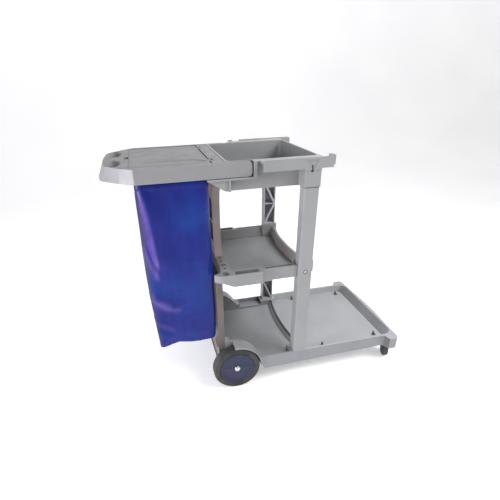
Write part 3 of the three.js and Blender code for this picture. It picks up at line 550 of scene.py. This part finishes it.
# straight folds on the long sides: (x0, z0, x1, z1, width, height, skew)
SIDE_RIDGES = [
    (-474, 498, -366, 414, 24, 6.5, 0.35), (-470, 462, -372, 384, 16, -4.5, 0),
    (-452, 366, -384, 322, 10, 4.2, 0.3), (-452, 336, -396, 300, 12, -3.0, 0),
    (-452, 246, -404, 300, 13, 3.6, 0), (-262, 900, -268, 560, 20, 2.4, 0),
    (-300, 905, -305, 600, 24, -2.8, 0), (-372, 905, -362, 640, 26, -3.0, 0),
    (-340, 880, -330, 420, 34, 2.2, 0), (-236, 420, -262, 270, 18, 3.0, 0),
]
# straight folds on the ends: (y0, z0, y1, z1, width, height, skew)
END_RIDGES = [
    (-175, 890, -120, 520, 18, 4.5, 0.4), (-120, 880, -60, 600, 26, -4.0, 0),
    (-10, 900, 20, 480, 26, 3.5, 0), (70, 900, 60, 560, 24, -4.0, 0.4),
    (175, 880, 120, 470, 18, 4.5, -0.4), (-170, 380, -40, 300, 18, 5.0, 0.5),
    (160, 360, 60, 290, 18, 4.0, -0.5),
]
# painted highlight lines down the near side: (path of (z, x) going up, width to -X, width to +X)
HIGHLIGHT_PATHS = [
    ([(590, -424), (640, -428), (697, -433), (782, -440), (849, -449), (912, -462)], 15.0, 7.0),
    ([(552, -424), (575, -429), (610, -440), (650, -457), (700, -468)], 13.0, 6.0),
]
# straight painted highlight lines on the near side: (x0, z0, x1, z1, width, strength)
HIGHLIGHT_LINES = [
    (-474, 490, -440, 452, 17, 0.6), (-456, 460, -402, 424, 20, 0.75),
    (-412, 426, -360, 411, 9, 0.6), (-442, 360, -390, 329, 7, 0.3),
]


def bag_section(z):
    """Arguments for ring_point at a height: x0, x1, half width, corner radius."""
    return at(z, BAG_REAR_X), at(z, BAG_FRONT_X), at(z, BAG_HALF_WIDTH), at(z, BAG_CORNER)


def bottom_edge(x, y):
    """Height of the bottom edge, blended from the near side to the far side."""
    blend = ease(-190, 150, y)
    return at(x, NEAR_BOTTOM) * (1 - blend) + at(x, FAR_BOTTOM) * blend


def mouth_sag(x):
    """How far the mouth's long sides bow inward."""
    if not MOUTH_X0 < x < MOUTH_X1:
        return 0
    return 1.6 * math.sin(math.pi * (x - MOUTH_X0) / (MOUTH_X1 - MOUTH_X0)) ** 2


def off_line(x, z, x0, z0, x1, z1):
    """Share of the way along a line, and distance off it."""
    dx, dz = x1 - x0, z1 - z0
    length_squared = dx * dx + dz * dz
    share = ((x - x0) * dx + (z - z0) * dz) / length_squared
    return share, ((x - x0) * dz - (z - z0) * dx) / math.sqrt(length_squared)


def off_path(x, z, path, width_rear, width_front):
    """Distance off a path in widths, each flank by its own width."""
    distance = x - at(z, path)
    return distance / (width_rear if distance < 0 else width_front)


def ridge(x, z, x0, z0, x1, z1, width, height, skew):
    """A rounded fold along a line: it widens along the line and fades at both ends."""
    share, distance = off_line(x, z, x0, z0, x1, z1)
    fade = ease(-0.12, 0.15, share) * (1 - ease(0.8, 1.12, share))
    u = distance / (width * (0.6 + 0.8 * clamp(share)))
    return height * fade * math.exp(-u * u) * (1 + skew * math.tanh(u * 2))


def crest(x, z, path, width_rear, width_front, height):
    """A fold down a path, fading at its foot and head."""
    foot, head = path[0][0], path[-1][0]
    fade = ease(foot - 10, foot + 50, z) * (1 - ease(head - 10, head + 30, z))
    u = off_path(x, z, path, width_rear, width_front)
    return height * fade * math.exp(-abs(u) ** 1.7)


def side_fold(x, z):
    return (sum(crest(x, z, *row) for row in SIDE_CRESTS)
            + sum(ridge(x, z, *row) for row in SIDE_RIDGES))


def end_fold(y, z):
    return sum(ridge(y, z, *row) for row in END_RIDGES)


def painted_fold_highlight(x, z):
    """Painted highlights along the slack folds of the near side."""
    most = 0.0
    for path, width_rear, width_front in HIGHLIGHT_PATHS:
        foot, head = path[0][0], path[-1][0]
        fade = ease(foot - 14, foot + 26, z) * (1 - ease(head - 6, head + 12, z))
        u = off_path(x, z, path, width_rear, width_front)
        most = max(most, fade * math.exp(-u ** 2))
    for *line, width, strength in HIGHLIGHT_LINES:
        share, distance = off_line(x, z, *line)
        fade = ease(-0.25, 0.15, share) * (1 - ease(0.8, 1.25, share))
        most = max(most, strength * fade * math.exp(-(distance / width) ** 2))
    return most


def bottom_inset(x, y, above):
    """How far the wall turns in near its bottom edge, tighter at the near rear corner."""
    corner = math.exp(-((x + 462) / 34) ** 2 - ((y + 200) / 60) ** 2)
    radius = 12 - 7 * corner
    if above >= radius:
        return 0.0
    q = 1 - above / radius
    return radius * (1 - math.sqrt(max(0.0, 1 - q * q))) * 0.6


def wall_swell(x, y, z, nx, ny, above):
    """Outward move of the bag wall: folds, crumple and sag, held within limits."""
    near, far = max(0, -ny) ** 2, max(0, ny) ** 2
    rear, front = max(0, -nx) ** 2, max(0, nx) ** 2
    ends = end_fold(y, z)
    swell = (near * side_fold(x, z) + far * side_fold(FOLD_MIRROR - x, z)
             + rear * ends + front * (ends * 0.35)) / (near + far + rear + front)
    # calm by the hem and at the bottom edge
    calm = ease(0, 60, BAG_TOP - z)
    swell = swell * calm * (1 - 0.8 * math.exp(-(above / 10) ** 2))
    broad = noise.noise(Vector((x / 80, y / 80, z / 120)))
    small = noise.noise(Vector((x / 24, y / 24, z / 50)))
    swell += calm * 2.2 * broad + 0.7 * calm * small
    if near > 0.5 or far > 0.5:
        swell -= mouth_sag(x) * (1 - ease(0, 160, BAG_TOP - z))
    if nx > 0.5:
        swell = min(swell, 0.6)
    if nx < -0.5:
        swell = min(swell, 2.0)
    if swell > 6.5:
        swell = 6.5 + (swell - 6.5) * 0.3
    return swell


def wall_point(share, drop):
    """Vertex and painted highlight value, share of the way round and drop of the way down."""
    mid_x, mid_y, _, _ = ring_point(share, *bag_section(560))
    edge_z = bottom_edge(mid_x, mid_y)
    z = BAG_TOP + (edge_z - BAG_TOP) * drop
    above = z - edge_z
    x, y, nx, ny = ring_point(share, *bag_section(z))
    uneven = 0.72 + 0.5 * noise.noise(Vector((x / 14, 0.0, z / 60)))
    fold_highlight = painted_fold_highlight(x, z) * ease(0.25, 0.7, -ny) * uneven
    out = wall_swell(x, y, z, nx, ny, above) - bottom_inset(mid_x, mid_y, above)
    return to_frame(x + nx * out, y + ny * out, z), fold_highlight


def bag_shell():
    verts, faces, fold_highlights = [], [], []
    for row in range(DOWN + 1):
        drop = 1 - (1 - row / DOWN) ** 1.15
        for i in range(AROUND):
            vert, fold_highlight = wall_point(i / AROUND, drop)
            verts.append(vert)
            fold_highlights.append(fold_highlight)
    for row in range(DOWN):
        faces += bridge(row * AROUND, (row + 1) * AROUND, AROUND)

    # bottom: rings drawn in to the middle, bellied a little, with slack creases
    last_ring = DOWN * AROUND
    rim = [Vector(v) for v in verts[last_ring:]]
    centre = sum(rim, Vector()) / AROUND
    for ring in range(1, BOTTOM_RINGS):
        u = ring / BOTTOM_RINGS
        belly = 0.0012 * ease(0, 0.2, u) * (1 - ease(0.2, 0.6, u))
        start = len(verts)
        for p in rim:
            q = p.lerp(centre, u ** 0.9)
            ripple = noise.noise(Vector((q.x * 18, q.y * 18, 3.1)))
            slack = 0.002 * ripple * math.sin(math.pi * u)
            z = p.z * (1 - u) ** 2 + BAG_FLOOR * (1 - (1 - u) ** 2) - belly - slack
            verts.append((q.x, q.y, max(z, BAG_FLOOR_LEAST)))
        faces += bridge(last_ring, start, AROUND)
        last_ring = start
    middle = len(verts)
    verts.append((centre.x, centre.y, BAG_FLOOR))
    faces += [(last_ring + i, last_ring + (i + 1) % AROUND, middle) for i in range(AROUND)]
    fold_highlights += [0.0] * (len(verts) - len(fold_highlights))

    bag = new_mesh("bag_shell", verts, faces, VINYL, "cart", fold_highlight=fold_highlights)
    thick = bag.modifiers.new("thick", "SOLIDIFY")
    thick.thickness = 0.0012
    thick.offset = -1
    thick.use_even_offset = True
    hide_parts("bag")


# section of the hem band: (outward of the bag wall, z)
HEM_PROFILE = [(0.9, 908.6), (1.5, 907.6), (1.5, 889), (1.0, 886.6), (1.45, 885.0),
               (0.2, 884.2), (-1.4, 884.4), (-1.9, 886), (-1.9, 907.6), (-1.2, 908.8)]
HEM_STEPS = 208


def bag_hem():
    """Folded hem round the mouth, a doubled band."""
    verts, faces = [], []
    count = len(HEM_PROFILE)
    for i in range(HEM_STEPS):
        for out, z in HEM_PROFILE:
            x, y, nx, ny = ring_point(i / HEM_STEPS, *bag_section(z))
            if abs(ny) > 0.7:
                out -= mouth_sag(x)
            verts.append(to_frame(x + nx * out, y + ny * out, z))
        faces += bridge(i * count, (i + 1) % HEM_STEPS * count, count)
    new_mesh("bag_hem", verts, faces, VINYL, "cart")


bag_shell()
bag_hem()


# ---------------------------------------------------------------- wheels
def revolve(part, profile, steps, place, material, body, relief=None):
    """Turned piece in place of a CAD part. The profile is a closed loop of (radius,
    height along the axle); relief(radius, height, angle) gives a point's new height."""
    verts, faces = [], []
    count = len(profile)
    for i in range(steps):
        angle = 2 * math.pi * i / steps
        for r, h in profile:
            height = relief(r, h, angle) if relief else h
            verts.append(place(r * math.cos(angle), r * math.sin(angle), height))
        faces += bridge(i * count, (i + 1) % steps * count, count)
    obj = new_mesh(part + "_turned", verts, faces, material, body)
    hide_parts(part)


def mirrored(half):
    """A half profile followed by its mirror image across height 0."""
    return half + [(r, -h) for r, h in reversed(half)]


# rear wheel profiles: (radius before widening, distance from the middle of the cart)
WHEEL_TYRE = [
    (71.25, 206.5), (76, 204.6), (82, 203.2), (88, 202.6), (92.5, 202.9), (95.6, 204.3),
    (97.8, 206.6), (99.2, 209.6), (99.9, 212.6), (100, 214.6), (100, 217.6), (98.8, 218.2),
    (98.8, 219.4), (100, 220.0), (100, 230.0), (98.8, 230.6), (98.8, 231.8), (100, 232.4),
    (100, 235.4), (99.9, 237.4), (99.2, 240.4), (97.8, 243.4), (95.6, 245.7), (93.2, 247.0),
    (91.4, 247.5), (90.6, 246.9), (89.8, 246.9), (89.0, 247.5), (85, 247.3), (80, 246.5),
    (76.5, 245.6), (74.6, 244.6), (73.6, 243.2), (72.4, 242.6), (71.25, 242.6), (71.25, 236)]
WHEEL_HUB = [
    (6.35, 204.2), (19, 204.2), (20, 205), (20.6, 214), (61, 214), (62.4, 208.4),
    (63.4, 207.8), (70.2, 207.8), (70.9, 208.4), (70.9, 241.6), (70.5, 242.9), (69.4, 243.9),
    (67.6, 244.4), (65.2, 244.2), (63.8, 243.2), (62.6, 241.6), (61.6, 240.4), (60, 239.9),
    (57, 239.8), (52, 239.9), (46, 240.1), (40, 240.4), (34, 240.7), (28, 241.0),
    (25.4, 241.2), (23.8, 242.0), (22.6, 243.2), (20.8, 243.7), (14, 243.8), (6.35, 243.8)]
AXLE_CAP = [
    (0.05, 247.3), (6.0, 247.3), (6.0, 244.1), (12.2, 244.1), (12.5, 244.5), (12.5, 246.0),
    (12.0, 246.9), (10.8, 248.0), (8.4, 249.3), (5.2, 250.1), (2.4, 250.35), (0.05, 250.4)]
WHEEL_X, WHEEL_Z = -145.5, 102
WHEEL_OUT = 4.0  # moves the profiles outward along the axle

# caster profiles about the wheel's middle, one half: (radius, height along the axle)
CASTER_TYRE = mirrored([
    (27.3, -9.3), (30, -10.1), (33, -10.7), (35, -10.3), (36.5, -9.0), (37.2, -7.2),
    (37.5, -4.6)])
CASTER_HUB = mirrored([
    (3.35, -12.3), (8.4, -12.3), (9.0, -11.8), (9.8, -8.4), (11, -7.8), (14, -7.6),
    (18, -7.6), (22, -7.8), (23.6, -8.8), (24.4, -9.3), (26.9, -9.3)])
PIVOT_X, PIVOT_Y = 588, 237
CASTER_TRAIL = 25  # from the pivot to the axle
CASTER_RADIUS = 37.5


def widened(radius):
    """A profile radius as built: the hub grows from 30 out, and the tread ends at 102."""
    if radius < 30:
        return radius
    if radius < 71.1:
        return radius + (radius - 30) * 0.0929
    return 75.3 + (radius - 71.25) * 0.9287


def hub_ribs(r, h, angle):
    """Six raised ribs with hollows between them on the hub's outer face."""
    if h < 236 or r < 26 or r > 59.5:
        return h
    wave = math.cos(6 * angle + 0.3)
    rib = 1.5 * clamp((wave - 0.55) / 0.3)
    hollow = 0.7 * clamp((-wave - 0.2) / 0.5) * ease(26, 34, r) * (1 - ease(50, 59, r))
    return h + (rib - hollow)


def caster_spokes(r, h, angle):
    """Five raised spokes on both faces of the hub."""
    if abs(h) > 12 or r < 11 or r > 22:
        return h
    return h + math.copysign(1.4, h) * clamp((math.cos(5 * angle) - 0.45) / 0.3)


def rear_wheel(tag, side):
    def place(u, v, h):
        radius = math.hypot(u, v)
        scale = widened(radius) / radius
        return to_frame(WHEEL_X + u * scale, side * (h + WHEEL_OUT), WHEEL_Z + v * scale)

    body = "wheel_" + tag
    revolve("wheel_tyre_" + tag, WHEEL_TYRE, 160, place, TYRE, body)
    revolve("wheel_hub_" + tag, WHEEL_HUB, 144, place, NAVY, body, hub_ribs)
    revolve("axle_cap_" + tag, AXLE_CAP, 56, place, STEEL, "cart")


def caster_wheel(tag, side, turn):
    """Caster wheel swivelled about its upright pivot by turn degrees."""
    swivel = math.radians(-side * turn)
    cos, sin = math.cos(swivel), math.sin(swivel)

    def place(u, v, h):
        x = CASTER_TRAIL + u
        return to_frame(PIVOT_X + x * cos - h * sin, side * PIVOT_Y + x * sin + h * cos,
                        CASTER_RADIUS + v)

    body = "caster_wheel_" + tag
    revolve("caster_tyre_" + tag, CASTER_TYRE, 72, place, TYRE, body)
    revolve("caster_hub_" + tag, CASTER_HUB, 70, place, NAVY_DARK, body,
            caster_spokes)


for tag, side in SIDES:
    rear_wheel(tag, side)
caster_wheel("near", -1, turn=71)
caster_wheel("far", 1, turn=197)


# ---------------------------------------------------------------- screws
# head rings as shares of the head radius, fine enough to carry the cross recess
HEAD_RINGS = [0.0001, 0.06, 0.12, 0.18, 0.24, 0.30, 0.37, 0.44, 0.52, 0.62, 0.74, 0.84,
              0.92, 0.97, 1.0]
SCREW_STEPS = 64
RECESS_DEPTH = 1.5


def screw(kind, tag, origin, out, shank_radius, shank_length, radius, dome):
    """Pan-head screw with a cross recess, in place of a CAD screw."""
    out = Vector(out).normalized()
    side_a = out.orthogonal().normalized()
    side_b = out.cross(side_a)
    slot_half, arm_length = radius * 0.13, radius * 0.56

    def arm(across, along):
        """How far inside one arm a point is, by its sloped walls."""
        return min((slot_half - abs(across)) / 0.25, (arm_length - abs(along)) / 0.5)

    def head_height(x, y, share):
        top = dome * math.sqrt(max(0.0, 1 - 0.92 * share * share))
        return top - RECESS_DEPTH * clamp(max(arm(x, y), arm(y, x)))

    # (share of the head radius, height, or None on the head's face)
    rings = [(share, None) for share in HEAD_RINGS]
    rings += [(1.0, -1.4), (shank_radius / radius, -1.7),
              (shank_radius / radius, -shank_length), (0.0001, -shank_length - 1.2)]
    verts, faces = [], []
    for share, height in rings:
        for i in range(SCREW_STEPS):
            angle = 2 * math.pi * i / SCREW_STEPS
            x, y = radius * share * math.cos(angle), radius * share * math.sin(angle)
            h = head_height(x, y, share) if height is None else height
            verts.append((Vector(origin) + side_a * x + side_b * y + out * h) / 1000)
    last = (len(rings) - 1) * SCREW_STEPS
    for start in range(0, last, SCREW_STEPS):
        faces += bridge(start, start + SCREW_STEPS, SCREW_STEPS)
    faces.append(tuple(range(SCREW_STEPS)))
    faces.append(tuple(range(last, last + SCREW_STEPS))[::-1])
    obj = new_mesh(f"{kind}_head_{tag}", verts, faces, STEEL, "cart")
    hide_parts(f"{kind}_{tag}")


for tag, side in SIDES:
    screw("shelf_screw", tag, (SHELF_SCREW_X + SHIFT_MM, side * 244.1, SHELF_SCREW_Z),
          out=(0, side, 0), shank_radius=2.3, shank_length=27, radius=5.8, dome=1.5)
for tag, side in SIDES:
    screw("crossbar_screw", tag, (-184 + SHIFT_MM, side * 100, 958.2),
          out=(0, 0, 1), shank_radius=1.8, shank_length=19, radius=5.2, dome=1.4)


# ---------------------------------------------------------------- camera, floor, light
def camera():
    data = bpy.data.cameras.new("camera")
    obj = bpy.data.objects.new("camera", data)
    SCENE.collection.objects.link(obj)
    heading = math.radians(12.554026)  # from +Y towards +X
    tilt = math.radians(28.530769)  # downward
    roll = math.radians(-1.544844)
    forward = Vector((math.sin(heading) * math.cos(tilt), math.cos(heading) * math.cos(tilt),
                      -math.sin(tilt)))
    level = Vector((math.cos(heading), -math.sin(heading), 0))
    upright = level.cross(forward)
    right = level * math.cos(roll) + upright * math.sin(roll)
    up = -level * math.sin(roll) + upright * math.cos(roll)
    turn = Matrix((right, up, -forward)).transposed()
    place = Matrix.Translation((-0.431189 + SHIFT_X, -1.444473, 1.214191))
    obj.matrix_world = place @ turn.to_4x4()
    data.sensor_width = 36
    data.lens = 26.905838112
    data.shift_x = 0.038545222
    data.shift_y = 0.05683389
    data.clip_start, data.clip_end = 0.05, 60
    SCENE.camera = obj


def floor():
    """Pale floor that curves up into a wall at +Y."""
    s = Shader("floor_plain")
    colour = s.ramp(s.noise(scale=1.4, detail=3, rough=0.5),
                    [(0.3, (0.88, 0.88, 0.89, 1)), (0.7, (0.92, 0.92, 0.925, 1))])
    s.surface({"Base Color": colour, "Roughness": 0.8,
               "Emission Color": colour, "Emission Strength": 0.32})
    reach, wall_y, wall_top = 36.0, 5.0, 5.0
    curve, curve_steps = 2.0, 14
    profile = [(-reach, 0.0)]  # (y, z)
    for k in range(curve_steps + 1):
        angle = k / curve_steps * math.pi / 2
        profile.append((wall_y - curve + curve * math.sin(angle),
                        curve - curve * math.cos(angle)))
    profile.append((wall_y, wall_top))
    mesh = bpy.data.meshes.new("floor")
    bm = bmesh.new()
    left, right = [[bm.verts.new((x, y, z)) for y, z in profile] for x in (-reach, reach)]
    for i in range(len(profile) - 1):
        bm.faces.new((left[i], right[i], right[i + 1], left[i + 1]))
    bm.to_mesh(mesh)
    bm.free()
    for polygon in mesh.polygons:
        polygon.use_smooth = True
    obj = bpy.data.objects.new("floor", mesh)
    SCENE.collection.objects.link(obj)
    dress(obj, s.material)


def area(name, place, target, size, power, colour=(1, 1, 1), size_y=None):
    light = bpy.data.lights.new(name, "AREA")
    light.energy, light.color = power, colour
    light.shape = "RECTANGLE"
    light.size, light.size_y = size, size_y or size
    obj = bpy.data.objects.new(name, light)
    SCENE.collection.objects.link(obj)
    obj.location = place
    obj.rotation_mode = "QUATERNION"
    obj.rotation_quaternion = (Vector(target) - Vector(place)).to_track_quat("-Z", "Y")


def world():
    """White room: it lights the cart at 0.46, and the camera sees it as pale as the floor."""
    lit, seen_extra = 0.46, 0.47
    room = bpy.data.worlds.new("world")
    SCENE.world = room
    room.use_nodes = True
    tree = room.node_tree
    background = tree.nodes["Background"]
    background.inputs[0].default_value = (1, 1, 1, 1)
    path = tree.nodes.new("ShaderNodeLightPath")
    strength = tree.nodes.new("ShaderNodeMath")
    strength.operation = "MULTIPLY_ADD"
    tree.links.new(path.outputs["Is Camera Ray"], strength.inputs[0])
    strength.inputs[1].default_value = seen_extra
    strength.inputs[2].default_value = lit
    tree.links.new(strength.outputs[0], background.inputs[1])


camera()
floor()
area("key_right", place=(1.5, -1.45, 2.45), target=(0.35, 0, 0.6), size=1.2, power=50)
area("top", place=(1.15, -0.15, 2.1), target=(0.4, 0, 0.1), size=1.1, power=24)
area("side_left", place=(-2.6, -0.85, 0.95), target=(-0.5, -0.1, 0.8), size=0.7, size_y=1.2,
     power=64, colour=(0.96, 0.95, 1.0))
area("strip_left", place=(-1.75, -2.1, 1.0), target=(-0.45, -0.2, 0.6), size=0.22, size_y=1.3,
     power=9, colour=(0.95, 0.93, 1.0))
world()
SCENE.view_settings.view_transform = "Standard"
SCENE.view_settings.look = "None"
SCENE.view_settings.exposure = 0.0
